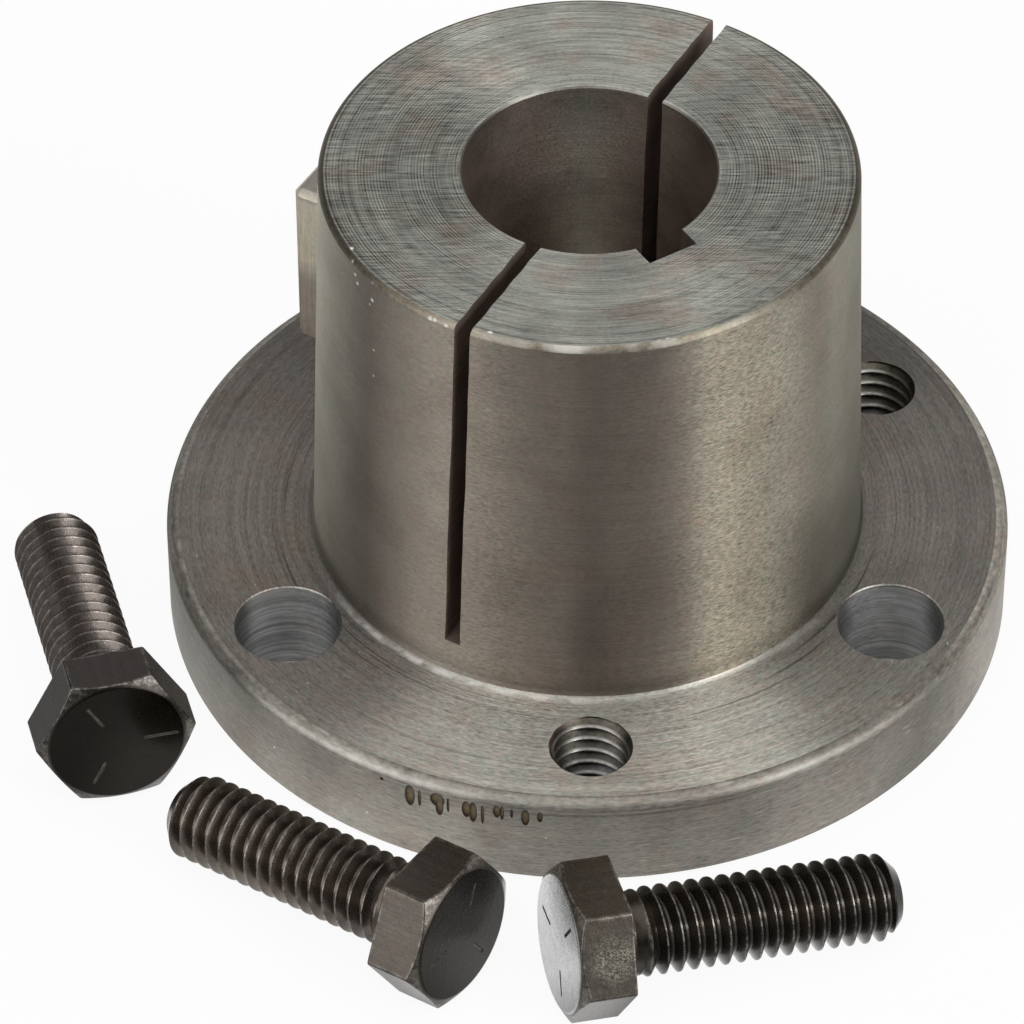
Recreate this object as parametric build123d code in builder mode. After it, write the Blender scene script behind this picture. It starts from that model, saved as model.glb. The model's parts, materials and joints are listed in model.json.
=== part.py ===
from build123d import *
import os
from math import atan, cos, degrees, radians, sin, tan

# Split taper bushing: a flanged steel bushing with a tapered, saw-split barrel, an outside key and screws.
# The origin is the centre of the bore on the flange's outer face. +Z runs up the bore to the barrel's nose.

INCH = 25.4

# Flange
flange_diameter = 3.0 * INCH
flange_thickness = 0.375 * INCH
flange_rim_radius = 1.1
flange_face_break = 0.4

# Tapered barrel: it wedges into a hub bore and stops short of pulling the hub onto the flange
overall_length = 1.9375 * INCH
hub_bore_diameter = 1.9375 * INCH
hub_gap = 0.1875 * INCH
taper_on_diameter = 0.75 / 12
root_fillet = 0.8
nose_chamfer = 0.45

# Bore and its keyway
bore_diameter = 0.875 * INCH
bore_chamfer = 0.4
keyway_width = 0.1875 * INCH
keyway_depth = 0.09375 * INCH
keyway_angle = -58.0

# One straight saw cut splits the barrel on both sides and stops above the flange
saw_width = 1.5
saw_floor_above_flange = 3.5
saw_angle = -119.0
saw_offset = 0.55
saw_lean = 1.2

# Screw holes in the flange: the bolt circle leaves this wall between a clear hole and the flange's rim
rim_wall = 0.09375 * INCH
clear_hole_diameter = 0.375 * INCH
clear_hole_count = 3
first_clear_hole_angle = -150.0
clear_hole_break = 0.25
tap_drill_diameter = 6.53
tapped_hole_angles = (-90.0, 30.0)
tapped_mouth_chamfer = 0.4

# Square key pressed into a closed seat half way up the barrel
key_size = 0.3125 * INCH
key_length = 0.6875 * INCH
key_projection = 3.9
key_angle = 150.0
key_edge_break = 0.6
key_seat_clearance = 0.02

# Cap screws: head across flats, and a shank with a coarse thread of this major diameter
screw_across_flats = 12.5
screw_head_height = 4.95
screw_head_crown_angle = 30.0
screw_head_flat_share = 0.95
screw_thread_diameter = 7.74
screw_length = 1.0 * INCH
screw_tip_chamfer = 1.3
screw_neck_diameter = 6.9
screw_neck_length = 1.3

# Where the loose screws lie: the centre of each head's seating face on the floor plan, counted from the
# point of the flange's rim that faces the group, and the way that each tip points
screw_group_angle = -120.0
screw_seats_from_rim = ((-23.65, 10.4), (3.95, -14.7), (20.75, -17.4))
screw_tip_angles = (103.9, 144.0, 16.3)

# Worked out from the sizes above
barrel_length = overall_length - flange_thickness
taper_on_radius = taper_on_diameter / 2
barrel_root_radius = hub_bore_diameter / 2 + taper_on_radius * hub_gap
barrel_nose_radius = barrel_root_radius - taper_on_radius * barrel_length
bore_radius = bore_diameter / 2
flange_radius = flange_diameter / 2
bolt_circle_radius = flange_radius - rim_wall - clear_hole_diameter / 2

# Construction values: how far a cut runs past the metal, and how closely a selected edge matches its radius
cut_overrun = 2.0
radius_match = 0.001


def spoke_plane(angle, distance, height):
    """A plane square to the spoke at this angle: its normal points outwards and its y axis points up."""
    outwards = Vector(cos(radians(angle)), sin(radians(angle)), 0)
    sideways = Vector(-sin(radians(angle)), cos(radians(angle)), 0)
    return Plane(outwards * distance + Vector(0, 0, height), x_dir=sideways, z_dir=outwards)


def drill_flange(diameter, mouth_chamfer, angle):
    """A hole through the flange at this angle on the bolt circle, chamfered at both mouths."""
    x = bolt_circle_radius * cos(radians(angle))
    y = bolt_circle_radius * sin(radians(angle))
    for mouth in (Plane((x, y, flange_thickness)), Plane((x, y, 0), z_dir=(0, 0, -1))):
        with Locations(mouth):
            CounterSinkHole(
                radius=diameter / 2,
                counter_sink_radius=diameter / 2 + mouth_chamfer,
                counter_sink_angle=90,
                depth=flange_thickness,
            )


# Split bushing
with BuildPart() as split_bushing:
    # Turned blank: flange and tapered barrel in one profile
    with BuildSketch(Plane.XZ) as blank_profile:
        with BuildLine():
            Polyline(
                (0, 0),
                (flange_radius, 0),
                (flange_radius, flange_thickness),
                (barrel_root_radius, flange_thickness),
                (barrel_nose_radius, overall_length),
                (0, overall_length),
                close=True,
            )
        make_face()
        outer_corners = blank_profile.vertices().filter_by(lambda corner: corner.X > 0).sort_by(Axis.Z)
        face_corner, *upper_corners, nose_corner = outer_corners
        rim_corner, root_corner = ShapeList(upper_corners).sort_by(Axis.X, reverse=True)
        chamfer(face_corner, length=flange_face_break)
        chamfer(nose_corner, length=nose_chamfer)
        fillet(rim_corner, radius=flange_rim_radius)
        fillet(root_corner, radius=root_fillet)
    revolve(axis=Axis.Z)

    # Bore, chamfered at both mouths
    Hole(radius=bore_radius)
    chamfer(
        split_bushing.edges().filter_by(lambda edge: edge.geom_type == GeomType.CIRCLE
                                        and abs(edge.radius - bore_radius) < radius_match),
        length=bore_chamfer,
    )

    # Keyway along the whole bore: its depth is counted from the side of the key, as a gauge reads it
    keyway_side_height = (bore_radius**2 - (keyway_width / 2) ** 2) ** 0.5
    keyway_floor = keyway_side_height + keyway_depth
    with BuildSketch(spoke_plane(keyway_angle, 0, 0)):
        with Locations((0, -cut_overrun)):
            Rectangle(keyway_width, overall_length + 2 * cut_overrun, align=(Align.CENTER, Align.MIN))
    extrude(amount=keyway_floor, mode=Mode.SUBTRACT)

    # Saw cut: a thin leaning slab across the barrel, from above the nose down to its floor
    across_cut = Vector(sin(radians(saw_angle)), -cos(radians(saw_angle)), 0)
    along_cut = Vector(cos(radians(saw_angle)), sin(radians(saw_angle)), 0)
    saw_plane = Plane(
        Vector(0, 0, overall_length) - across_cut * saw_offset, x_dir=along_cut, z_dir=across_cut
    ).rotated((-saw_lean, 0, 0))
    saw_depth = barrel_length - saw_floor_above_flange
    with BuildSketch(saw_plane):
        with Locations((0, cut_overrun)):
            Rectangle(
                2 * barrel_root_radius + 2 * cut_overrun,
                saw_depth + cut_overrun,
                align=(Align.CENTER, Align.MAX),
            )
    extrude(amount=saw_width / 2, both=True, mode=Mode.SUBTRACT)

    # Clear holes for the cap screws
    for index in range(clear_hole_count):
        clear_hole_angle = first_clear_hole_angle + index * 360 / clear_hole_count
        drill_flange(clear_hole_diameter, clear_hole_break, clear_hole_angle)
    # Tapped holes: a cap screw turned in here jacks the bushing out of its hub
    for angle in tapped_hole_angles:
        drill_flange(tap_drill_diameter, tapped_mouth_chamfer, angle)

    # Closed seat for the outside key
    key_height = flange_thickness + barrel_length / 2
    barrel_radius_at_key = barrel_root_radius - taper_on_radius * (key_height - flange_thickness)
    key_outer_radius = barrel_radius_at_key + key_projection
    key_floor_radius = key_outer_radius - key_size
    with BuildSketch(spoke_plane(key_angle, key_floor_radius, key_height)):
        Rectangle(key_size + 2 * key_seat_clearance, key_length + 2 * key_seat_clearance)
    extrude(amount=key_size + cut_overrun, mode=Mode.SUBTRACT)

split_bushing.part.label = "split_bushing"


# Outside key
with BuildPart() as barrel_key:
    with BuildSketch(spoke_plane(key_angle, key_floor_radius, key_height)):
        Rectangle(key_size, key_length)
    extrude(amount=key_size)
    chamfer(barrel_key.edges(), length=key_edge_break)

barrel_key.part.label = "barrel_key"


# One cap screw, head down at the origin's back: the seating face is at z = 0 and the tip points along +Z
with BuildPart() as cap_screw:
    with BuildSketch(Plane.XY.offset(-screw_head_height)):
        RegularPolygon(screw_across_flats / 2, 6, major_radius=False)
    extrude(amount=screw_head_height)

    # Crown: a cone trims the six corners of the head's outer face
    crown_radius = screw_across_flats / 2 * screw_head_flat_share
    past_corners = screw_across_flats
    crown_drop = (past_corners - crown_radius) * tan(radians(screw_head_crown_angle))
    with BuildSketch(Plane.XZ):
        with BuildLine():
            Polyline(
                (0, cut_overrun),
                (0, -screw_head_height),
                (crown_radius, -screw_head_height),
                (past_corners, -screw_head_height + crown_drop),
                (past_corners, cut_overrun),
                close=True,
            )
        make_face()
    revolve(axis=Axis.Z, mode=Mode.INTERSECT)

    # Shank: a plain neck under the head, then the thread at its major diameter, with a chamfered tip
    neck_radius = screw_neck_diameter / 2
    thread_radius = screw_thread_diameter / 2
    with BuildSketch(Plane.XZ):
        with BuildLine():
            Polyline(
                (0, 0),
                (neck_radius, 0),
                (neck_radius, screw_neck_length),
                (thread_radius, screw_neck_length + thread_radius - neck_radius),
                (thread_radius, screw_length - screw_tip_chamfer),
                (thread_radius - screw_tip_chamfer, screw_length),
                (0, screw_length),
                close=True,
            )
        make_face()
    revolve(axis=Axis.Z)


# The loose screws lie on a flat of the head and on the last full thread, so each axis dips towards its tip
screw_contact_drop = (screw_across_flats - screw_thread_diameter) / 2
screw_tilt = degrees(atan(screw_contact_drop / (screw_length - screw_tip_chamfer)))
screw_axis_height = screw_across_flats / 2 * cos(radians(screw_tilt))


def resting_plane(x, y, tip_angle):
    """The plane of a resting screw's seating face: its normal points to the tip."""
    level = Vector(cos(radians(tip_angle)), sin(radians(tip_angle)), 0)
    sideways = Vector(sin(radians(tip_angle)), -cos(radians(tip_angle)), 0)
    to_tip = level * cos(radians(screw_tilt)) - Vector(0, 0, sin(radians(screw_tilt)))
    return Plane((x, y, screw_axis_height), x_dir=sideways, z_dir=to_tip)


# Three cap screws beside the bushing
with BuildPart() as cap_screws:
    rim_x = flange_radius * cos(radians(screw_group_angle))
    rim_y = flange_radius * sin(radians(screw_group_angle))
    for (seat_x, seat_y), tip_angle in zip(screw_seats_from_rim, screw_tip_angles):
        with Locations(resting_plane(rim_x + seat_x, rim_y + seat_y, tip_angle)):
            add(cap_screw.part)

cap_screws.part.label = "cap_screws"


# Export
os.makedirs("parts", exist_ok=True)
export_step(split_bushing.part, "parts/split_bushing.step")
export_step(barrel_key.part, "parts/barrel_key.step")
export_step(cap_screws.part, "parts/cap_screws.step")
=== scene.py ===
import json
from math import atan, cos, degrees, pi, radians, sin, sqrt, tan
from types import SimpleNamespace

import bmesh
import bpy
from mathutils import Matrix, Vector


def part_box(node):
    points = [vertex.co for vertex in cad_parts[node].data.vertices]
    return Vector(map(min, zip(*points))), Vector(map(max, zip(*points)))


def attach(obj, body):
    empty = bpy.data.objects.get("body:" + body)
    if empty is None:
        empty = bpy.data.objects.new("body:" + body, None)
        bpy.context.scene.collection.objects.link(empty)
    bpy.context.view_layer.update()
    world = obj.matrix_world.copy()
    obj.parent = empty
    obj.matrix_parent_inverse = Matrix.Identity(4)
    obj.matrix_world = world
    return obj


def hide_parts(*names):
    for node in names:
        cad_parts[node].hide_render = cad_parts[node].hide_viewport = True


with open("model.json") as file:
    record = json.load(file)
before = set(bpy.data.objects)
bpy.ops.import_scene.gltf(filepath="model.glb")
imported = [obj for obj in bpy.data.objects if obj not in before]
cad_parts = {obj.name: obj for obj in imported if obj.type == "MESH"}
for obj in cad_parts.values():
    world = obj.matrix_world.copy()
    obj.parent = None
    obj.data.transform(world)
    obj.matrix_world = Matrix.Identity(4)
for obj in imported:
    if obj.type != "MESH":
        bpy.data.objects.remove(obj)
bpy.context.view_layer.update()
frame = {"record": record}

# Units: the modelling below is in millimetres, and each mesh is scaled to metres when it is finished
MM = 0.001
INCH = 25.4

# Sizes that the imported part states
mounts = {mount["name"]: mount["dims"] for mount in frame["record"]["mounts"]}
bushing_low, bushing_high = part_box("split_bushing")
flange_radius = round((bushing_high.x - bushing_low.x) / 2 / MM, 3)
overall_length = round(bushing_high.z / MM, 4)
bore_radius = mounts["shaft_bore"]["r_mm"]
bolt_circle_radius = mounts["clamp_screw_holes"]["pcd_mm"] / 2
clear_hole_radius = mounts["clamp_screw_holes"]["hole_r_mm"]
tap_drill_radius = mounts["jack_screw_hole_front"]["r_mm"]

# Sizes repeated from the part's source, in its order
flange_thickness = 0.375 * INCH
flange_rim_radius = 1.1
flange_face_break = 0.4
barrel_taper = 0.03125
barrel_root_radius = 1.9375 * INCH / 2 + barrel_taper * 0.1875 * INCH
barrel_nose_radius = barrel_root_radius - barrel_taper * (overall_length - flange_thickness)
root_fillet = 0.8
nose_chamfer = 0.45
bore_chamfer = 0.4
keyway_width = 0.1875 * INCH
keyway_floor = sqrt(bore_radius**2 - (keyway_width / 2) ** 2) + keyway_width / 2
keyway_angle = -58.0
saw_width = 1.5
saw_floor = flange_thickness + 3.5
saw_angle = -119.0
saw_offset = 0.55
saw_lean = 1.2
clear_hole_angles = (-150.0, -30.0, 90.0)
clear_hole_break = 0.25
tapped_hole_angles = (-90.0, 30.0)
tapped_mouth_chamfer = 0.4
key_size = 0.3125 * INCH
key_length = 0.6875 * INCH
key_angle = 150.0
key_edge_break = 0.6
key_height = (flange_thickness + overall_length) / 2
key_outer_radius = barrel_root_radius - barrel_taper * (key_height - flange_thickness) + 3.9
key_floor_radius = key_outer_radius - key_size
seat_clearance = 0.02
screw_apothem = 6.25
screw_head_height = 4.95
screw_crown_radius = screw_apothem * 0.95
screw_length = INCH
screw_tip_chamfer = 1.3
screw_neck_radius = 3.45
thread_crest = 3.87
thread_root = 3.0
thread_pitch = INCH / 18
group_angle = -120.0
group_x = flange_radius * cos(radians(group_angle))
group_y = flange_radius * sin(radians(group_angle))

# Sizes of the shown details
merge_distance = 0.0005
shown_bore_chamfer = 0.15
shown_hole_break = 0.1
nose_edge_radius = 0.5
cutter_overrun = 2.0
mouth_overrun = 0.2
hexagon_corner_radius = 0.32
head_edge_radii = (0.3, 0.16, 0.14, 0.2)
key_edge_softening = 0.1
neck_end = 1.0
thread_rise = 1.2
groove_start = 1.2
groove_run_in = 2.1
tap_thread_depth = 0.68
mark_width = 0.38
mark_depth = 0.13
mark_inner = 2.3
mark_taper = 0.08


# Mesh helpers
def add_object(name, data, materials=()):
    for material in materials:
        data.materials.append(material)
    made = bpy.data.objects.new(name, data)
    bpy.context.scene.collection.objects.link(made)
    return made


def skin(name, rows, materials, material_of_row=None):
    """A closed skin over rows of points: neighbouring rows are joined, and points that meet are merged."""
    width = len(rows[0])
    points = [point for row in rows for point in row]
    faces = []
    numbers = []
    for i in range(len(rows) - 1):
        for j in range(width - 1):
            faces.append((i * width + j, i * width + j + 1, (i + 1) * width + j + 1, (i + 1) * width + j))
            numbers.append(material_of_row[i] if material_of_row else 0)
    mesh = bpy.data.meshes.new(name)
    mesh.from_pydata(points, [], faces)
    mesh.polygons.foreach_set("material_index", numbers)
    tidy = bmesh.new()
    tidy.from_mesh(mesh)
    bmesh.ops.remove_doubles(tidy, verts=tidy.verts, dist=merge_distance)
    bmesh.ops.recalc_face_normals(tidy, faces=tidy.faces)
    if tidy.calc_volume(signed=True) < 0:
        bmesh.ops.reverse_faces(tidy, faces=tidy.faces)
    tidy.to_mesh(mesh)
    tidy.free()
    return add_object(name, mesh, materials)


def arc(centre_r, centre_z, radius, start, end, steps):
    """Points (r, z) on an arc of the profile, both ends included, with angles in degrees."""
    found = []
    for i in range(steps + 1):
        angle = radians(start + (end - start) * i / steps)
        found.append((centre_r + radius * cos(angle), centre_z + radius * sin(angle)))
    return found


def swept(rows, columns, x=0, y=0):
    """Points for rows of (r, z) round the upright axis at x, y, with one column for each angle."""
    return [[(x + r * cos(turn), y + r * sin(turn), z) for (r, z), turn in zip(row, columns)] for row in rows]


def turned(name, profile, materials, material_of_edge=None, segments=384, centre=(0, 0)):
    """A turned body: the profile's points (r, z) swept round an upright axis at centre."""
    columns = [2 * pi * i / segments for i in range(segments + 1)]
    rows = [[place] * len(columns) for place in profile]
    return skin(name, swept(rows, columns, *centre), materials, material_of_edge)


def softened(points, radii, steps=3):
    """The polyline (r, z) with its inner corners rounded to these radii."""
    found = [points[0]]
    for before, corner, after, radius in zip(points, points[1:], points[2:], radii):
        a = Vector(before) - Vector(corner)
        b = Vector(after) - Vector(corner)
        half_turn = (pi - a.angle(b)) / 2
        reach = radius * tan(half_turn)
        a.normalize()
        b.normalize()
        middle = Vector(corner) + (a + b).normalized() * (radius / cos(half_turn))
        first = Vector(corner) + a * reach - middle
        last = Vector(corner) + b * reach - middle
        for i in range(steps + 1):
            share = i / steps
            swung = first.lerp(last, share).normalized() * radius + middle
            found.append((swung.x, swung.y))
    found.append(points[-1])
    return found


def block(name, matrix, low, high, materials, taper=0.0):
    """A box between two corners in the frame of matrix. Its lower end is narrower by taper on each side."""
    mesh = bpy.data.meshes.new(name)
    corners = []
    for z, inset in ((low[2], taper), (high[2], 0.0)):
        left, right = low[0] + inset, high[0] - inset
        front, back = low[1] + inset, high[1] - inset
        corners += [(left, front, z), (right, front, z), (right, back, z), (left, back, z)]
    sides = [(3, 2, 1, 0), (4, 5, 6, 7), (0, 1, 5, 4), (1, 2, 6, 5), (2, 3, 7, 6), (3, 0, 4, 7)]
    mesh.from_pydata([matrix @ Vector(corner) for corner in corners], [], sides)
    return add_object(name, mesh, materials)


def frame_of(x_axis, y_axis, z_axis, place):
    """The matrix of the frame with these axes at this place."""
    made = Matrix((x_axis, y_axis, z_axis)).transposed().to_4x4()
    made.translation = place
    return made


def spoke(angle, distance, height):
    """The frame of a spoke at this angle: its z axis points outwards and its y axis points up."""
    outwards = Vector((cos(radians(angle)), sin(radians(angle)), 0))
    sideways = Vector((-sin(radians(angle)), cos(radians(angle)), 0))
    return frame_of(sideways, (0, 0, 1), outwards, outwards * distance + Vector((0, 0, height)))


def baked(target):
    """Writes the modifiers into the mesh."""
    graph = bpy.context.evaluated_depsgraph_get()
    mesh = bpy.data.meshes.new_from_object(target.evaluated_get(graph))
    target.modifiers.clear()
    target.data = mesh


def cut(target, cutter):
    """Takes the cutter out of the target. The new walls have the cutter's materials."""
    change = target.modifiers.new("cut", "BOOLEAN")
    change.operation = "DIFFERENCE"
    change.solver = "EXACT"
    change.material_mode = "TRANSFER"
    change.object = cutter
    baked(target)
    bpy.data.objects.remove(cutter)


def finish_mesh(target, sharp_angle=28.0):
    """Smooth shading with sharp edges, then metres."""
    mesh = target.data
    mesh.polygons.foreach_set("use_smooth", [True] * len(mesh.polygons))
    mesh.set_sharp_from_angle(angle=radians(sharp_angle))
    weighted = target.modifiers.new("weighted", "WEIGHTED_NORMAL")
    weighted.keep_sharp = True
    weighted.weight = 80
    baked(target)
    target.data.transform(Matrix.Scale(MM, 4))


# Node helpers
class Graph:
    """A short way to write a node tree."""

    def __init__(self, tree):
        self.tree = tree
        tree.nodes.clear()

    def put(self, socket, value):
        if isinstance(value, bpy.types.NodeSocket):
            self.tree.links.new(value, socket)
        elif isinstance(value, tuple) and len(value) == 3 and socket.type == "RGBA":
            socket.default_value = (*value, 1)
        else:
            socket.default_value = value

    def node(self, kind, *values, named=None, **settings):
        made = self.tree.nodes.new(kind)
        for key, value in settings.items():
            setattr(made, key, value)
        for socket, value in zip(made.inputs, values):
            if value is not None:
                self.put(socket, value)
        for key, value in (named or {}).items():
            self.put(made.inputs[key], value)
        return made

    def out(self, kind, *values, **settings):
        """The first output of a new node."""
        return self.node(kind, *values, **settings).outputs[0]

    def math(self, operation, *values):
        return self.out("ShaderNodeMath", *values, operation=operation)

    def minus(self, a, b):
        return self.math("SUBTRACT", a, b)

    def fused(self, a, b, c):
        """a times b, plus c."""
        return self.math("MULTIPLY_ADD", a, b, c)

    def abs(self, value):
        """The value without its sign."""
        return self.math("ABSOLUTE", value)

    def length(self, x, y):
        return self.math("SQRT", self.plus(self.times(x, x), self.times(y, y)))

    def joined(self, operation, values):
        """All the values, joined two by two by one operation."""
        found, *others = values
        for value in others:
            found = self.math(operation, found, value)
        return found

    def times(self, *values):
        return self.joined("MULTIPLY", values)

    def plus(self, *values):
        return self.joined("ADD", values)

    def most(self, *values):
        return self.joined("MAXIMUM", values)

    def vector(self, *values):
        return self.out("ShaderNodeCombineXYZ", *values)

    def ramp(self, value, low, high, to_low=0.0, to_high=1.0, smooth=False):
        kind = "SMOOTHSTEP" if smooth else "LINEAR"
        return self.out("ShaderNodeMapRange", value, low, high, to_low, to_high, interpolation_type=kind)

    def soft(self, value, low, high, to_low=0.0, to_high=1.0):
        """A ramp with soft ends."""
        return self.ramp(value, low, high, to_low, to_high, True)

    def near(self, value, place, low, high, to_low=0.0, to_high=1.0, smooth=False):
        """A ramp over the distance between a value and a place."""
        away = self.abs(self.minus(value, place))
        return self.ramp(away, low, high, to_low, to_high, smooth)

    def stretched(self, values, factors):
        """A place for a texture: each value times its factor."""
        return self.vector(*[self.times(value, factor) for value, factor in zip(values, factors)])

    def noise(self, vector, scale, detail=3.0, roughness=0.55):
        return self.out("ShaderNodeTexNoise", vector, named={
            "Scale": scale, "Detail": detail, "Roughness": roughness})

    def mix(self, factor, a, b, blend="MIX"):
        """A mix of two colours. The node's next five inputs after the factor are for floats and vectors."""
        made = self.node("ShaderNodeMix", factor, *[None] * 5, a, b, data_type="RGBA", blend_type=blend)
        return made.outputs[2]

    def toned(self, colour, tone):
        """The colour times a grey tone."""
        return self.mix(1.0, colour, self.vector(tone, tone, tone), "MULTIPLY")

    def curve(self, value, stops):
        """A colour for each value, with stops (place, colour)."""
        made = self.node("ShaderNodeValToRGB", value)
        points = made.color_ramp.elements
        while len(points) < len(stops):
            points.new(0.5)
        for point, (place, colour) in zip(points, stops):
            point.position = place
            point.color = (*colour, 1)
        return made.outputs[0]


# The brush direction as a share of a full turn, and the thin oil on the screws
QUARTER_TURN = 0.25
OIL_COAT = 0.22
OIL_ROUGHNESS = 0.16


def material(name):
    """A new material and the graph of its node tree."""
    made = bpy.data.materials.new(name)
    made.use_nodes = True
    return made, Graph(made.node_tree)


def place_of(g, matrix=None):
    """Millimetres in the frame of matrix: x, y, z, the radius r, and the direction cx, cy round the axis."""
    made = g.node("ShaderNodeTexCoord").outputs["Object"]
    back = (matrix or Matrix.Identity(4)).inverted()
    turn = tuple(back.to_euler("XYZ"))
    scaled = g.out("ShaderNodeMapping", made, tuple(back.translation), turn, (1000, 1000, 1000))
    x, y, z = g.node("ShaderNodeSeparateXYZ", scaled).outputs
    r = g.length(x, y)
    round_x = g.math("DIVIDE", x, g.most(r, 0.01))
    round_y = g.math("DIVIDE", y, g.most(r, 0.01))
    return SimpleNamespace(p=scaled, x=x, y=y, z=z, r=r, cx=round_x, cy=round_y)


def shade(g, colour, metallic, roughness, bump=None, bump_mm=0.02, aniso=0.0, coat=0.0):
    """The shader at the end of a tree. aniso is the gloss along grooves that run round the upright axis."""
    shader = g.node("ShaderNodeBsdfPrincipled", named={
        "Base Color": colour, "Metallic": metallic, "Roughness": roughness, "Anisotropic": aniso,
        "Anisotropic Rotation": QUARTER_TURN if aniso else 0.0, "Coat Weight": coat,
        "Coat Roughness": OIL_ROUGHNESS})
    if bump is not None:
        made = g.out("ShaderNodeBump", named={"Strength": 1.0, "Distance": bump_mm * MM, "Height": bump})
        g.put(shader.inputs["Normal"], made)
    if aniso:
        g.put(shader.inputs["Tangent"], g.out("ShaderNodeTangent", direction_type="RADIAL", axis="Z"))
    g.node("ShaderNodeOutputMaterial", shader.outputs[0])


def patches(g, at, scale, low, high, shift=0.0):
    """A mask of soft patches. Another shift, in millimetres, gives other patches."""
    moved = g.out("ShaderNodeMapping", at.p, (shift, shift * 0.7, -shift))
    return g.soft(g.noise(moved, scale, 4.0, 0.6), low, high)


def spots(g, at, places):
    """A mask that is one in the middle of each spot: ((x, y, z), (half x, half y, half z))."""
    masks = []
    for middle, half in places:
        away = g.out("ShaderNodeVectorMath", at.p, middle, operation="SUBTRACT")
        away = g.out("ShaderNodeVectorMath", away, half, operation="DIVIDE")
        away = g.node("ShaderNodeVectorMath", away, operation="LENGTH").outputs[1]
        masks.append(g.ramp(away, 1.0, 0.45))
    return g.most(*masks)


def specks(g, at, places):
    """A mask of small nicks: (angle round the axis, radius, height, half size)."""
    found = []
    for angle, radius, height, half in places:
        middle = (radius * cos(radians(angle)), radius * sin(radians(angle)), height)
        found.append((middle, (half, half, half)))
    return spots(g, at, found)


# Turned steel, with tool rings, brush lines, fine grain and stains. A noise swings by about a tenth round its
# middle, so SPREAD brings it to one. RIPPLE_PITCH is the feed of the tool on the top face, in millimetres
SPREAD = 10.0
RIPPLE_PITCH = 0.272
# Bare steel for nicks and for painted highlights, rust, worn oxide with painted highlights on the screws'
# crests and edges, and scraped oxide
BARE_STEEL_AND_HIGHLIGHT = (0.85, 0.84, 0.79)
RUSTY = (0.98, 0.84, 0.80)
WORN_OXIDE_AND_HIGHLIGHT = (0.45, 0.43, 0.38)
SCRAPED_OXIDE = (0.27, 0.26, 0.21)


def turned_steel(name, colour, face, rings=0.1, ring_mm=0.2, ripple=0.0, brush=0.0, grain=0.06, patch=0.3,
                 red=0.3, light_shade_tints=None, light_and_ring_gain=None, busy=None, bare_and_highlight=None, roughness=0.5, aniso=0.8,
                 ring_bump=0.004, grain_bump=0.01):
    """Turned steel. face is top for a flat turned face and wall for a round one.

    rings, ripple, brush, grain and patch are relative spreads of the tone, and red is the share of rusty
    patches. The tints are colour factors from left to right, and the gain makes places lighter or darker:
    both paint light and shade by place, and the gain also holds tool rings. busy is where the grain is
    strong, and the pale mask is bare metal together with painted highlights. ring_bump and grain_bump are
    in millimetres.
    """
    made, g = material(name)
    at = place_of(g)
    depth = at.r if face == "top" else at.z
    ring_place = g.vector(at.cx, at.cy, g.times(depth, 0.7 / ring_mm))
    ring = g.noise(ring_place, 1.4, 2.0, 0.7)
    fine = g.noise(g.stretched((at.cx, at.cy, depth), (48.0, 48.0, 6.5)), 1.0, 2.0, 0.65)
    tone = g.fused(g.minus(ring, 0.5), rings * SPREAD, 1.0)
    spread = g.minus(fine, 0.5)
    if busy is not None:
        spread = g.times(spread, busy(g, at))
    tone = g.fused(spread, grain * SPREAD, tone)
    height = g.fused(fine, grain_bump / ring_bump, ring)
    if ripple:
        wave = g.math("SINE", g.times(depth, 2 * pi / RIPPLE_PITCH))
        strong = g.noise(g.vector(at.cx, at.cy, g.times(depth, 0.5)), 1.6, 2.0)
        # Stronger at the left and right: painted light, where the light shows the ripple most
        strong = g.times(g.ramp(strong, 0.35, 0.65), g.ramp(g.abs(at.cx), 0.35, 0.9, 0.25, 1.0))
        tone = g.fused(g.times(wave, strong), ripple, tone)
    if brush:
        line = g.noise(g.stretched((at.x, at.y), (0.2, 3.1)), 1.5, 2.0, 0.7)
        # Stronger at the left and right: painted light, where the light shows the brush lines most
        strong = g.ramp(g.abs(at.cx), 0.3, 0.85, 0.3, 1.0)
        spread = g.times(g.minus(line, 0.5), strong)
        tone = g.fused(spread, brush * SPREAD, tone)
        height = g.fused(line, 1.5, height)
    clouded = g.fused(patches(g, at, 0.14, 0.38, 0.68), -patch, 1.0 + patch * 0.4)
    tone = g.times(g.most(tone, 0.2), clouded)
    # Painted light and shade by place, and tool rings
    if light_and_ring_gain is not None:
        tone = g.times(tone, light_and_ring_gain(g, at))
    paint = g.toned(colour, tone)
    # Painted light and shade by direction round the part
    if light_shade_tints is not None:
        paint = g.mix(1.0, paint, g.curve(g.ramp(at.cx, -1.0, 1.0), light_shade_tints), "MULTIPLY")
    rust = g.times(patches(g, at, 0.19, 0.46, 0.68, shift=7.0), red)
    paint = g.mix(rust, paint, RUSTY, "MULTIPLY")
    speck = g.ramp(g.noise(at.p, 5.0, 1.0), 0.42, 0.58)
    paint = g.mix(0.08, paint, g.mix(speck, (0.9, 0.2, 0.4), (0.2, 0.8, 0.45)), "OVERLAY")
    metal = 1.0
    # Bare metal and painted highlights: pale and less metallic, so they stay light under any lamp
    if bare_and_highlight is not None:
        bare_and_highlight_mask = bare_and_highlight(g, at)
        paint = g.mix(bare_and_highlight_mask, paint, BARE_STEEL_AND_HIGHLIGHT)
        metal = g.fused(bare_and_highlight_mask, -0.7, 1.0)
    rough = g.ramp(fine, 0.35, 0.65, roughness - 0.04, roughness + 0.04)
    shade(g, paint, metal, rough, height, ring_bump, aniso)
    return made


def broken(g, at, scale=0.9, low=0.35, high=0.6):
    """A mask that breaks a painted highlight along an edge into pieces."""
    return g.ramp(g.noise(at.p, scale, 3.0), low, high)


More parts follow.
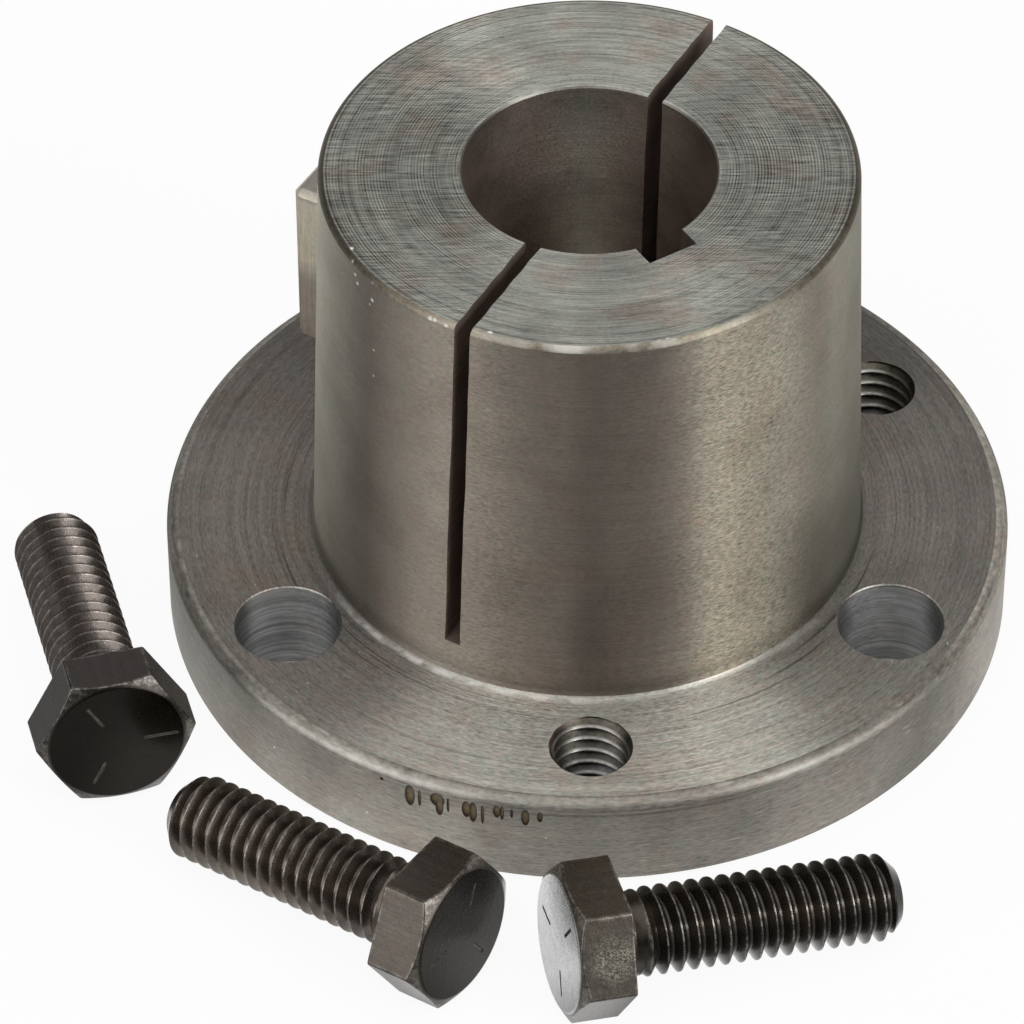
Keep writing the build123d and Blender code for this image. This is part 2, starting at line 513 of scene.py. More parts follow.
def top_highlight_and_nicks(g, at):
    """Nicks, and a painted highlight: the thin bright line round the bore's mouth, stronger at the back."""
    inner = g.times(g.ramp(at.r, bore_radius + shown_bore_chamfer + 0.3, bore_radius + shown_bore_chamfer),
                    g.ramp(at.cy, -0.2, 0.7, 0.15, 0.6), broken(g, at))
    burr = specks(g, at, ((-76, 23.4, overall_length, 0.5), (-74, 23.2, overall_length, 0.35),
                          (-153, 22.9, overall_length, 0.25), (-112, 23.0, overall_length, 0.3)))
    return g.most(inner, burr)


def top_rings_and_light(g, at):
    """Darker tool rings near the outer edge, and painted light and shade: lighter sides and a darker front.
    """
    ring = g.most(g.near(at.r, 21.7, 0.12, 0.02), g.near(at.r, 22.75, 0.2, 0.05))
    ring = g.times(ring, g.ramp(g.noise(at.p, 0.5, 2.0), 0.35, 0.6, 0.1, 0.45))
    side = g.ramp(g.abs(at.cx), 0.3, 1.0, 1.0, 1.15)
    ahead = g.ramp(at.cy, -0.2, -0.9, 1.0, 0.88)
    return g.times(side, ahead, g.minus(1.0, ring))


def nose_highlight_and_nicks(g, at):
    """The rounded edge of the barrel's nose: a painted highlight, bright at the front and broken in places,
    and nicks. Its back is made darker by the nose's gain.
    """
    edge_highlight_and_wear = g.times(g.soft(at.cy, -0.55, -0.9), broken(g, at, 0.35, 0.38, 0.6),
                   g.near(at.cx, 0.03, 0.35, 0.12, 0.25, 1.0, smooth=True), 0.55)
    nick = specks(g, at, ((-149.9, 23.4, 48.9, 0.22), (-147, 23.4, 48.7, 0.16), (-142.2, 23.4, 48.7, 0.25),
                          (-125.5, 23.4, 48.8, 0.35), (-124.4, 23.4, 48.9, 0.25), (-121.6, 23.4, 48.8, 0.3)))
    return g.most(edge_highlight_and_wear, g.times(nick, 0.6))


def nose_light_and_shade(g, at):
    """Painted light and shade: darker at the back and sides, lighter at the front."""
    return g.ramp(at.cy, -0.3, -0.8, 0.6, 1.1)


def barrel_busy(g, at):
    """The grain shows most in the two bands of the wall that are painted lighter: painted sparkle of the
    light there.
    """
    left = g.near(at.cx, -0.42, 0.3, 0.05, 0.35, 0.75, smooth=True)
    right = g.near(at.cx, 0.55, 0.3, 0.1, 0.45, 1.4, smooth=True)
    return g.most(left, right)


def barrel_pale(g, at):
    """Nicks and scratches on the barrel."""
    return g.times(specks(g, at, (
        (-148.5, 23.6, 47.9, 0.22), (-147.6, 23.6, 47.2, 0.22), (-142.2, 23.6, 46.9, 0.26),
        (-143, 23.7, 46.2, 0.18), (-141.5, 23.8, 41.5, 0.16), (-141.5, 23.9, 38.6, 0.16),
        (-71, 24.3, 13.4, 0.15), (-72, 24.3, 13.0, 0.12), (-47, 23.8, 37.0, 0.12))), 0.8)


def barrel_painted_shade(g, at):
    """Painted shade: darker just above the flange, and low down on the right."""
    foot = g.ramp(at.z, flange_thickness + 0.5, flange_thickness + 2.2, 0.7, 1.0)
    right = g.times(g.soft(at.cx, 0.6, 0.8, 0.0, 0.3), g.soft(at.z, 27, 16))
    return g.times(foot, g.minus(1.0, right))


def flange_light_and_rings(g, at):
    """Painted light and shade, lighter at the front and darker behind, and dark tool rings next to the
    barrel.
    """
    ahead = g.soft(at.cy, -0.75, -0.98, 0.86, 1.52)
    behind = g.soft(at.cy, 0.1, 0.7, 1.0, 0.54)
    ring = g.noise(g.vector(at.cx, at.cy, g.times(at.r, 3.2)), 1.0, 1.0)
    ring = g.times(g.ramp(ring, 0.62, 0.7), g.ramp(at.r, 30.5, 28.0, 0.1, 0.5))
    return g.times(ahead, behind, g.minus(1.0, ring))


def flange_highlight_and_dust(g, at):
    """A painted highlight: the bright arc in the corner between the flange and the barrel; and dust."""
    corner = g.near(at.r, barrel_root_radius + 0.66, 0.42, 0.12)
    corner = g.times(corner, g.soft(at.cy, -0.4, -0.65, 0.05, 0.6), g.soft(at.cx, 0.3, -0.15, 0.3, 1.0),
                     broken(g, at, 0.9, 0.3, 0.6))
    dust = g.times(g.ramp(g.noise(at.p, 2.6, 1.0), 0.76, 0.8), 0.5)
    return g.most(corner, dust)


def rim_light_and_shade(g, at):
    """Painted light and shade on the rim: its rounded edge lighter, most on the left, a dark line below it at
    the front, darker towards the right and lighter again at the far right.
    """
    left = g.soft(at.cx, 0.0, -0.3, 1.12, 1.2)
    edge = g.ramp(at.z, flange_thickness - 1.15, flange_thickness - 0.8)
    edge = g.fused(edge, g.minus(left, 1.0), 1.0)
    line = g.times(g.near(at.z, flange_thickness - 1.35, 0.22, 0.05), g.ramp(at.cy, -0.85, -0.98, 0.0, 0.35))
    side = g.plus(g.soft(at.cx, 0.0, 0.35, 0.93, 0.70), g.soft(at.cx, 0.78, 0.97, 0.0, 0.8))
    return g.times(edge, side, g.minus(1.0, line))


def rim_scratches_and_highlight(g, at):
    """Thin scratches along the rim, a few chips, and a painted highlight along its rounded edge at the front
    left.
    """
    scratch_place = g.stretched((at.cx, at.cy, at.z), (14.0, 14.0, 5.0))
    scratch = g.ramp(g.noise(scratch_place, 1.0, 1.0), 0.68, 0.76)
    chip = specks(g, at, ((-137, 38.1, 4.6, 0.16), (-121, 38.1, 3.2, 0.12), (-96, 38.1, 5.3, 0.10)))
    line = g.times(g.near(at.z, flange_thickness - 0.5, 0.42, 0.1), g.soft(at.cy, -0.35, -0.7, 0.0, 0.4),
                   g.soft(at.cx, -0.1, -0.45, 0.3, 1.0), broken(g, at, 0.8, 0.2, 0.7))
    return g.most(g.times(scratch, 0.2), line, g.times(chip, 0.7))


def bore_light_and_shade(g, at):
    """Painted light and shade: darker near the mouth, lighter deeper down in the middle, and lighter on the
    left than on the right.
    """
    lower = g.times(g.near(at.cx, -0.05, 0.5, 0.1, smooth=True), g.ramp(at.z, 46, 34))
    tone = g.fused(lower, 0.8, g.ramp(at.z, 49, 44, 0.75, 1.1))
    return g.times(tone, g.ramp(at.cx, 0.3, 0.9, 1.0, 0.85))


def hole_light_and_shade(g, at):
    """Painted light and shade: darker near the floor and lighter up high, and darker at the left and right of
    each hole.
    """
    sideways = []
    for angle in clear_hole_angles:
        middle = bolt_circle_radius * cos(radians(angle))
        sideways.append(g.abs(g.minus(at.x, middle)))
    side = g.soft(g.joined("MINIMUM", sideways), 2.9, 4.6, 1.1, 0.5)
    return g.times(side, g.ramp(at.z, 0.5, 7.0, 0.95, 1.3))


# Colour factors from the left of the part to its right: (place, factor). They paint light and shade by
# direction round the part, with some tint of colour.
BARREL_LIGHT_AND_SHADE = (
    (0.0, (1.75, 1.82, 1.84)), (0.03, (1.32, 1.38, 1.42)), (0.10, (0.85, 0.82, 0.85)),
    (0.22, (1.0, 0.97, 0.98)), (0.36, (0.84, 0.81, 0.82)), (0.54, (0.98, 0.92, 0.95)),
    (0.62, (0.82, 0.78, 0.81)), (0.67, (0.72, 0.70, 0.70)), (0.71, (0.79, 0.78, 0.75)),
    (0.78, (0.80, 0.79, 0.75)), (0.90, (1.18, 1.19, 1.18)), (0.94, (1.34, 1.39, 1.40)),
    (1.0, (1.0, 1.06, 1.06)),
)
BORE_LIGHT_AND_SHADE = (
    (0.0, (0.80, 0.78, 0.80)), (0.3, (0.95, 0.95, 0.96)), (0.48, (1.12, 1.32, 1.34)),
    (0.65, (1.08, 1.12, 1.14)), (1.0, (0.72, 0.68, 0.66)),
)
FLANGE_LIGHT_AND_SHADE = (
    (0.0, (1.1, 1.05, 1.07)), (0.2, (1.0, 0.96, 0.98)), (0.36, (0.96, 0.98, 1.0)),
    (0.5, (0.98, 0.99, 1.0)), (0.75, (0.98, 0.99, 1.0)), (0.88, (0.98, 0.97, 0.97)),
    (1.0, (1.10, 1.05, 1.07)),
)
top_steel = turned_steel(
    "top_steel", (0.345, 0.35, 0.318), "top", rings=0.12, ring_mm=0.26, ripple=0.5, brush=0.27, grain=0.09,
    patch=0.25, red=0.8, light_and_ring_gain=top_rings_and_light, bare_and_highlight=top_highlight_and_nicks, grain_bump=0.012)
chamfer_steel = turned_steel("chamfer_steel", (0.30, 0.29, 0.26), "top", rings=0.0, grain=0.12, red=0.1)
nose_steel = turned_steel(
    "nose_steel", (0.25, 0.225, 0.175), "top", rings=0.0, grain=0.14, light_and_ring_gain=nose_light_and_shade, bare_and_highlight=nose_highlight_and_nicks)
barrel_steel = turned_steel(
    "barrel_steel", (0.325, 0.300, 0.250), "wall", rings=0.03, grain=0.17, patch=0.15, red=0.35,
    light_shade_tints=BARREL_LIGHT_AND_SHADE, light_and_ring_gain=barrel_painted_shade, busy=barrel_busy, bare_and_highlight=barrel_pale, aniso=0.9, grain_bump=0.012)
flange_steel = turned_steel(
    "flange_steel", (0.350, 0.341, 0.305), "top", rings=0.09, ring_mm=0.3, grain=0.14, patch=0.15, red=0.45,
    light_shade_tints=FLANGE_LIGHT_AND_SHADE, light_and_ring_gain=flange_light_and_rings, bare_and_highlight=flange_highlight_and_dust, grain_bump=0.012)
rim_steel = turned_steel(
    "rim_steel", (0.28, 0.266, 0.236), "wall", rings=0.05, ring_mm=0.3, grain=0.15, patch=0.2, red=0.4,
    light_and_ring_gain=rim_light_and_shade, bare_and_highlight=rim_scratches_and_highlight, aniso=0.4, grain_bump=0.02)
bore_steel = turned_steel(
    "bore_steel", (0.41, 0.345, 0.30), "wall", rings=0.04, grain=0.10, aniso=0.3, light_shade_tints=BORE_LIGHT_AND_SHADE,
    light_and_ring_gain=bore_light_and_shade)
hole_steel = turned_steel(
    "hole_steel", (0.34, 0.345, 0.345), "wall", rings=0.14, ring_mm=0.35, grain=0.12, patch=0.4, red=0.2,
    aniso=0.3, light_and_ring_gain=hole_light_and_shade)
hole_edge_steel = turned_steel(
    "hole_edge_steel", (0.36, 0.35, 0.32), "top", rings=0.0, grain=0.25, patch=0.6)
saw_steel = turned_steel("saw_steel", (0.27, 0.215, 0.185), "wall", aniso=0.0, roughness=0.7)
# The key's seat: darker than the rest of the steel, as painted shade in the narrow gaps round the key
seat_steel = turned_steel("seat_steel", (0.14, 0.12, 0.10), "wall", aniso=0.0)


def stain():
    """Old knocks in the rim: dark brown at their edges and olive inside, by how deep they are."""
    made, g = material("stain_steel")
    at = place_of(g)
    grain = g.noise(at.p, 2.5, 3.0, 0.6)
    deep = g.ramp(at.r, flange_radius - 0.04, flange_radius - 0.15)
    deep = g.fused(g.minus(grain, 0.5), 1.2, deep)
    paint = g.curve(deep, (
        (0.0, (0.03, 0.02, 0.014)), (0.35, (0.06, 0.042, 0.024)), (1.0, (0.17, 0.13, 0.07))))
    shade(g, paint, 0.8, 0.5, grain, 0.01)
    return made


stain_steel = stain()


def thread_wall(name, x, y):
    """The thread of a tapped hole, by the distance from the hole's axis: brown flanks with painted light and
    shade by depth, and crests painted bright as a highlight.
    """
    made, g = material(name)
    at = place_of(g)
    away = g.length(g.minus(at.x, x), g.minus(at.y, y))
    deep = g.math("DIVIDE", at.z, flange_thickness)
    # Painted light and shade: lighter and bluish near the lower mouth, darker in the middle
    flank = g.curve(deep, (
        (0.0, (0.18, 0.19, 0.21)), (0.45, (0.085, 0.08, 0.068)), (1.0, (0.14, 0.125, 0.10))))
    grain = g.noise(at.p, 1.8, 4.0, 0.7)
    flank = g.mix(g.ramp(grain, 0.35, 0.7), flank, (0.05, 0.048, 0.042))
    # Painted highlight on the crests
    crest = g.soft(away, tap_drill_radius + 0.27, tap_drill_radius + 0.08)
    paint = g.mix(g.times(crest, g.ramp(grain, 0.3, 0.65, 0.15, 0.6)), flank, (0.60, 0.59, 0.55))
    mouth = g.ramp(away, tap_drill_radius + 0.25, tap_drill_radius + 0.4)
    mouth = g.times(mouth, g.ramp(at.z, flange_thickness - 0.5, flange_thickness - 0.3))
    paint = g.mix(g.times(mouth, 0.7), paint, (0.20, 0.17, 0.14))
    shade(g, paint, 1.0, 0.34, grain, 0.01)
    return made


# Split bushing
root_slope = sqrt(1 + barrel_taper**2)
fillet_r = barrel_root_radius + root_fillet * (root_slope - barrel_taper)
wall_angle = degrees(atan(barrel_taper))
nose_step = barrel_taper * nose_chamfer / root_slope
nose_arc = softened([
    (barrel_nose_radius + nose_step * 3, overall_length - nose_chamfer * 3),
    (barrel_nose_radius - nose_step / 3, overall_length),
    (barrel_nose_radius - nose_chamfer * 3, overall_length),
], (nose_edge_radius,), 4)[1:-1]
TOP, CHAMFER, FLANGE, RIM, BARREL, BORE, NOSE = range(7)
profile = [
    (bore_radius, bore_chamfer),
    (bore_radius + bore_chamfer, 0),
    (flange_radius - flange_face_break, 0),
    (flange_radius, flange_face_break),
]
bands = [CHAMFER, FLANGE, CHAMFER]
rim_centre = (flange_radius - flange_rim_radius, flange_thickness - flange_rim_radius)
profile += arc(*rim_centre, flange_rim_radius, 0, 90, 8)
bands += [RIM] * 9
profile += arc(fillet_r, flange_thickness + root_fillet, root_fillet, 270, 180 + wall_angle, 6)
bands += [FLANGE] * 4 + [BARREL] * 3
profile += nose_arc
profile += [
    (bore_radius + shown_bore_chamfer, overall_length),
    (bore_radius, overall_length - shown_bore_chamfer),
    (bore_radius, bore_chamfer),
]
bands += [BARREL] + [NOSE] * 4 + [TOP, CHAMFER, BORE]
bushing_materials = [top_steel, chamfer_steel, flange_steel, rim_steel, barrel_steel, bore_steel, nose_steel]
bushing = turned("split_bushing_visual", profile, bushing_materials, bands)

# Keyway along the whole bore
cut(bushing, block("keyway_cutter", spoke(keyway_angle, 0, 0), (-keyway_width / 2, -cutter_overrun, 0),
                   (keyway_width / 2, overall_length + cutter_overrun, keyway_floor), [bore_steel]))

# Saw cut: a leaning slab with slightly wavy walls
across = Vector((sin(radians(saw_angle)), -cos(radians(saw_angle)), 0))
along = Vector((cos(radians(saw_angle)), sin(radians(saw_angle)), 0))
upright = Vector((0, 0, 1))
saw_up = upright * cos(radians(saw_lean)) - across * sin(radians(saw_lean))
saw_out = upright * sin(radians(saw_lean)) + across * cos(radians(saw_lean))
saw_middle = upright * overall_length - across * saw_offset
saw_depth = overall_length - saw_floor
saw_steps = 22
saw_runs = 80


def saw_ring(height, reach):
    """One ring of the slab at this height along the cut. With a reach of 0 it closes the slab."""
    ring = []
    for side in (1, -1):
        for i in range(saw_runs + 1):
            run = (-1 + 2 * i / saw_runs) * side * (barrel_root_radius + cutter_overrun)
            wave = 0.035 * sin(run * 1.9 + height * 0.35 + side) + 0.03 * sin(run * 4.7 - height * 0.8)
            offset = side * (saw_width / 2 + wave) * reach
            ring.append(saw_middle + along * run + saw_up * height + saw_out * offset)
    return ring + ring[:1]


saw_rows = [saw_ring(cutter_overrun, 0.0)]
for step in range(saw_steps + 1):
    saw_rows.append(saw_ring(cutter_overrun - (saw_depth + cutter_overrun) * step / saw_steps, 1.0))
saw_rows.append(saw_ring(-saw_depth, 0.0))
cut(bushing, skin("saw_cutter", saw_rows, [saw_steel]))


# Clear holes
def hole_place(angle):
    """The middle of the hole at this angle."""
    return bolt_circle_radius * cos(radians(angle)), bolt_circle_radius * sin(radians(angle))


clear_profile = [
    (0, -mouth_overrun),
    (clear_hole_radius + clear_hole_break + mouth_overrun, -mouth_overrun),
    (clear_hole_radius, clear_hole_break),
    (clear_hole_radius, flange_thickness - shown_hole_break),
    (clear_hole_radius + shown_hole_break + mouth_overrun, flange_thickness + mouth_overrun),
    (0, flange_thickness + mouth_overrun),
]
for angle in clear_hole_angles:
    cut(bushing, turned("clear_hole_cutter", clear_profile, [hole_steel, hole_edge_steel], [1, 1, 0, 1, 1],
                        segments=128, centre=hole_place(angle)))


# A helical skin, for the tapped holes and for the screws: rows at these parts of the pitch
FRACTIONS = (0.0, 0.045, 0.085, 0.17, 0.27, 0.36, 0.43, 0.5, 0.57, 0.64, 0.73, 0.83, 0.915, 0.955)


def groove(fraction):
    """How deep the thread's groove is at this part of the pitch: 0 on the crest and 1 at the root."""
    crest_end, root_start = 0.05, 0.43
    away = min(fraction, 1 - fraction)
    return min(max((away - crest_end) / (root_start - crest_end), 0.0), 1.0)


def helix_rows(columns, start, end, start_radius, end_radius, radius_at):
    """Rows of (r, z) that follow the helix between two heights, closed to plain circles at both ends."""
    rows = []
    turn = 0
    first = start - 1.05 * thread_pitch
    closed = 0.004
    while first + turn * thread_pitch < end + 0.05:
        for fraction in FRACTIONS:
            row = []
            for angle in columns:
                z = first + (turn + fraction + angle / (2 * pi)) * thread_pitch
                if z <= start + closed:
                    row.append((start_radius, start))
                elif z >= end - closed:
                    row.append((end_radius, end))
                else:
                    row.append((radius_at(z, fraction), z))
            rows.append(row)
        turn += 1
    return rows


def tap_radius_at(z, fraction):
    """The wall of a tapped hole: its thread, and the chamfers at both mouths."""
    inside = min(z, flange_thickness - z)
    if inside <= 0:
        return tap_drill_radius + tapped_mouth_chamfer - inside
    wanted = tap_drill_radius + tap_thread_depth * groove(fraction)
    least = max(tap_drill_radius, tap_drill_radius + tapped_mouth_chamfer - inside)
    most = tap_drill_radius + tapped_mouth_chamfer + inside * 1.2
    return min(max(wanted, least), most)


tap_columns = [2 * pi * i / 72 for i in range(73)]
tap_low = -mouth_overrun
tap_high = flange_thickness + mouth_overrun
mouth = tap_drill_radius + tapped_mouth_chamfer + mouth_overrun
for angle in tapped_hole_angles:
    hole_x, hole_y = hole_place(angle)
    polar = [[place] * len(tap_columns) for place in ((0, tap_low), (mouth, tap_low))]
    polar += helix_rows(tap_columns, tap_low, tap_high, mouth, mouth, tap_radius_at)
    polar += [[place] * len(tap_columns) for place in ((mouth, tap_high), (0, tap_high))]
    wall = thread_wall("thread_wall_%d" % int(angle + 180), hole_x, hole_y)
    cut(bushing, skin("tap_cutter", swept(polar, tap_columns, hole_x, hole_y), [wall]))

# Closed seat of the outside key
half_seat = key_size / 2 + seat_clearance
half_seat_length = key_length / 2 + seat_clearance
cut(bushing, block("seat_cutter", spoke(key_angle, key_floor_radius, key_height),
                   (-half_seat, -half_seat_length, 0),
                   (half_seat, half_seat_length, key_size + cutter_overrun), [seat_steel]))

# Old knocks in the flange's rim: (angle, height, half width, half height)
RIM_DENTS = (
    (-114.5, 7.4, 0.52, 1.35), (-113.1, 7.4, 0.17, 1.05), (-110.6, 7.8, 0.74, 0.85),
    (-110.3, 7.0, 0.40, 1.10), (-109.1, 7.5, 0.14, 0.95), (-106.6, 7.5, 0.44, 1.05),
    (-105.7, 7.3, 0.40, 1.30), (-104.4, 7.2, 0.17, 1.20), (-102.5, 7.9, 0.36, 0.80),
    (-101.8, 7.8, 0.20, 0.90), (-100.5, 7.9, 0.13, 0.60), (-98.7, 7.6, 0.40, 1.05),
    (-96.8, 7.8, 0.27, 0.65), (-118.6, 8.2, 0.2, 0.2),
)
DENT_DEPTH = 0.13
DENT_ROWS = 12
DENT_COLUMNS = 24
for angle, height, half_width, half_height in RIM_DENTS:
    around = spoke(angle, flange_radius + DENT_DEPTH, height)
    rows = []
    for i in range(DENT_ROWS + 1):
        polar_angle = pi * i / DENT_ROWS
        ring = []
        for j in range(DENT_COLUMNS + 1):
            turn = 2 * pi * j / DENT_COLUMNS
            ring.append(around @ Vector((
                half_width * 1.1 * sin(polar_angle) * cos(turn),
                half_height * 1.1 * sin(polar_angle) * sin(turn),
                2 * DENT_DEPTH * cos(polar_angle),
            )))
        rows.append(ring)
    cut(bushing, skin("dent_cutter", rows, [stain_steel]))

finish_mesh(bushing)
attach(bushing, "root")
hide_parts("split_bushing")


# Outside key
def key_finish():
    """Drawn key steel, with painted light and shade: lighter on its upper half as a painted reflection, with
    a darker upper end as painted shade.
    """
    made, g = material("key_steel")
    at = place_of(g)
    line = g.noise(g.stretched((at.x, at.y, at.z), (2.0, 2.0, 0.12)), 2.0, 4.0, 0.65)
    grain = g.noise(at.p, 1.6, 4.0, 0.7)
    # Painted light and shade along the key's height
    paint = g.curve(g.ramp(at.z, 20.6, 38.2), [
        (0.0, (0.42, 0.36, 0.30)), (0.42, (0.50, 0.44, 0.36)), (0.55, (0.79, 0.72, 0.58)),
        (0.93, (0.82, 0.76, 0.63)), (1.0, (0.32, 0.30, 0.27))])
    both = g.plus(g.times(line, 0.6), g.times(grain, 0.4))
    paint = g.toned(paint, g.ramp(both, 0.3, 0.7, 0.75, 1.2))
    shade(g, paint, 1.0, 0.55, line, 0.01)
    return made


key = block("barrel_key_visual", spoke(key_angle, key_floor_radius, key_height),
            (-key_size / 2, -key_length / 2, 0), (key_size / 2, key_length / 2, key_size), [key_finish()])
for width, steps in ((key_edge_break, 1), (key_edge_softening, 2)):
    rounding = key.modifiers.new("edges", "BEVEL")
    rounding.width = width
    rounding.segments = steps
    rounding.limit_method = "ANGLE"
    rounding.angle_limit = radians(25)
    rounding.offset_type = "OFFSET"
    baked(key)
finish_mesh(key, sharp_angle=60)
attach(key, "root")
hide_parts("barrel_key")


# Cap screws
def plain(name, colour):
    """The floor of a grade mark."""
    made, g = material(name)
    at = place_of(g)
    grain = g.ramp(g.noise(at.p, 2.0, 3.0), 0.3, 0.7, 0.5, 1.2)
    shade(g, g.toned(colour, grain), 0.6, 0.45)
    return made


def oxide(name, matrix, colour, face_colour, shank=1.35, roughness=0.27, scraped=None):
    """Oiled black oxide, for the screw that lies in the frame of matrix. The head's face has its own colour.

    scraped is a rubbed place on the head: its middle and its half sizes. The colours and the shank's tone are
    set per screw as painted light and shade.
    """
    made, g = material(name)
    at = place_of(g, matrix)
    grain = g.noise(at.p, 1.1, 4.0, 0.65)
    fine = g.noise(at.p, 6.0, 2.0, 0.6)
    on_face = g.ramp(at.z, -screw_head_height + 0.12, -screw_head_height + 0.04)
    brown = g.times(patches(g, at, 0.35, 0.45, 0.68), g.minus(1.0, on_face))
    # The shank's tone is set per screw: painted light and shade
    paint = g.toned(colour, g.ramp(at.z, 0.05, 0.3, 1.0, shank))
    paint = g.mix(on_face, paint, face_colour)
    scratch = g.noise(g.stretched((at.x, at.y), (3.0, 0.5)), 2.0, 2.0, 0.6)
    spread = g.minus(g.fused(scratch, 0.5, g.times(grain, 0.5)), 0.5)
    paint = g.toned(paint, g.fused(spread, 1.4, 1.0))
    browner = (colour[0] * 1.15, colour[1] * 0.95, colour[2] * 0.8)
    paint = g.mix(g.times(brown, 0.3), paint, browner)
    patchy = g.ramp(grain, 0.42, 0.6)

    # Crests of the thread: wear together with a painted highlight
    edge_highlight_and_wear = g.times(g.ramp(at.r, thread_crest - 0.10, thread_crest - 0.02), g.ramp(at.z, 0.5, 1.5),
                   g.ramp(at.r, thread_crest + 0.5, thread_crest + 0.2), patchy)

    # Edges of the head: the crown's circle, its arches on the flats, and the six corners, paler as wear
    # together with painted highlights
    past_crown = g.minus(at.r, screw_crown_radius)
    arch = g.fused(past_crown, tan(pi / 6), -screw_head_height)
    off_arch = g.abs(g.minus(at.z, arch))
    outside = g.ramp(at.r, screw_apothem - 0.05, screw_apothem)
    edge = g.times(g.ramp(off_arch, 0.26, 0.12), outside)
    from_corner = g.math("PINGPONG", g.math("ARCTAN2", at.y, at.x), pi / 6)
    corner = g.times(g.ramp(from_corner, 0.045, 0.02), outside)
    seat = g.times(g.ramp(at.z, -0.3, -0.16), g.ramp(at.r, screw_apothem - 0.5, screw_apothem - 0.1))
    edge = g.most(edge, g.times(corner, 0.6), seat)
    edge = g.times(edge, g.ramp(fine, 0.35, 0.6, 0.3, 1.0), patchy)
    # Worn oxide with painted highlights on crests and edges
    paint = g.mix(g.most(g.times(edge_highlight_and_wear, 0.35), g.times(edge, 0.42)), paint, WORN_OXIDE_AND_HIGHLIGHT)
    if scraped is not None:
        rubbed = g.times(spots(g, at, (scraped,)), g.ramp(fine, 0.42, 0.58),
                         g.ramp(grain, 0.35, 0.55, 0.35, 1.0))
        paint = g.mix(rubbed, paint, SCRAPED_OXIDE)
    rough = g.ramp(fine, 0.3, 0.7, roughness - 0.05, roughness + 0.06)
    height = g.fused(fine, 0.08, grain)
    shade(g, paint, 0.85, rough, height, 0.02, coat=OIL_COAT)
    return made


def hexagon_radius(angle):
    """The head's outline at this angle: flats with rounded corners, and a corner at angle 0."""
    from_corner = (angle + pi / 6) % (pi / 3) - pi / 6
    from_flat = pi / 6 - abs(from_corner)
    inner = screw_apothem - hexagon_corner_radius
    if from_flat <= atan(inner * tan(pi / 6) / screw_apothem):
        return screw_apothem / cos(from_flat)
    reach = inner / cos(pi / 6)
    return reach * cos(from_corner) + sqrt(hexagon_corner_radius**2 - (reach * sin(from_corner)) ** 2)


def crest_at(z):
    """The thread's outside: it rises out of the neck and ends in the tip's chamfer."""
    rising = min(max((z - neck_end) / thread_rise, 0.0), 1.0)
    tip = thread_crest - max(z - (screw_length - screw_tip_chamfer), 0.0)
    return min(screw_neck_radius + (thread_crest - screw_neck_radius) * rising, tip)


def screw_radius_at(z, fraction):
    """The shank's surface: the thread gets its full depth over the first turns."""
    deep = min(max((z - groove_start) / groove_run_in, 0.0), 1.0)
    wanted = thread_crest - (thread_crest - thread_root) * groove(fraction) * deep
    return min(wanted, crest_at(z))


# Columns round a screw, in degrees for one sixth: they are close together at the head's corners
sector = [0.0, 0.6, 1.2] + [2.5 * i for i in range(1, 24)] + [58.8, 59.4]
screw_columns = [radians(60 * k + part) for k in range(6) for part in sector] + [2 * pi]


def cap_screw(name, matrix, finish, mark_finish, marks):
    """One cap screw: the seating face is at z = 0 and the tip points along z.

    marks are the strength lines on the head: (angle, outer end).
    """
    heads = []
    for angle in screw_columns:
        r = hexagon_radius(angle)
        crown_z = -screw_head_height + (r - screw_crown_radius) * tan(pi / 6)
        line = [
            (0.0, -screw_head_height),
            (screw_crown_radius, -screw_head_height),
            (r, crown_z),
            (r, 0.0),
            (screw_neck_radius, 0.0),
            (screw_neck_radius, neck_end),
        ]
        heads.append(softened(line, head_edge_radii))
    polar = [[head[i] for head in heads] for i in range(len(heads[0]))]
    tip_radius = thread_crest - screw_tip_chamfer
    polar += helix_rows(screw_columns, neck_end, screw_length, screw_neck_radius, tip_radius, screw_radius_at)
    polar.append([(0.0, screw_length)] * len(screw_columns))
    screw = skin(name, swept(polar, screw_columns), [finish])
    for angle, outer in marks:
        bar = Matrix.Rotation(radians(angle), 4, "Z") @ Matrix.Rotation(pi, 4, "X")
        cut(screw, block("mark_cutter", bar, (mark_inner, -mark_width / 2, screw_head_height - mark_depth),
                         (outer, mark_width / 2, screw_head_height + 0.06), [mark_finish], mark_taper))
    screw.data.transform(matrix)
    finish_mesh(screw, sharp_angle=32)
    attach(screw, "root")
    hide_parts("cap_screws")


screw_tilt = atan((screw_apothem - thread_crest) / (screw_length - screw_tip_chamfer))


def lying(x, y, tip_angle):
    """The frame of a screw that lies on the floor, on a flat of its head and on its last thread."""
    turn = radians(tip_angle)
    level = Vector((cos(turn), sin(turn), 0))
    side = Vector((sin(turn), -cos(turn), 0))
    to_tip = level * cos(screw_tilt) - upright * sin(screw_tilt)
    seat = (group_x + x, group_y + y, screw_apothem * cos(screw_tilt))
    return frame_of(side, to_tip.cross(side), to_tip, seat)


lying_left = lying(-23.65, 10.4, 103.9)
lying_middle = lying(3.95, -14.7, 144.0)
lying_right = lying(20.75, -17.4, 16.3)
worn_mark = plain("worn_mark_steel", (0.115, 0.108, 0.092))
dark_mark = plain("dark_mark_steel", (0.06, 0.055, 0.05))
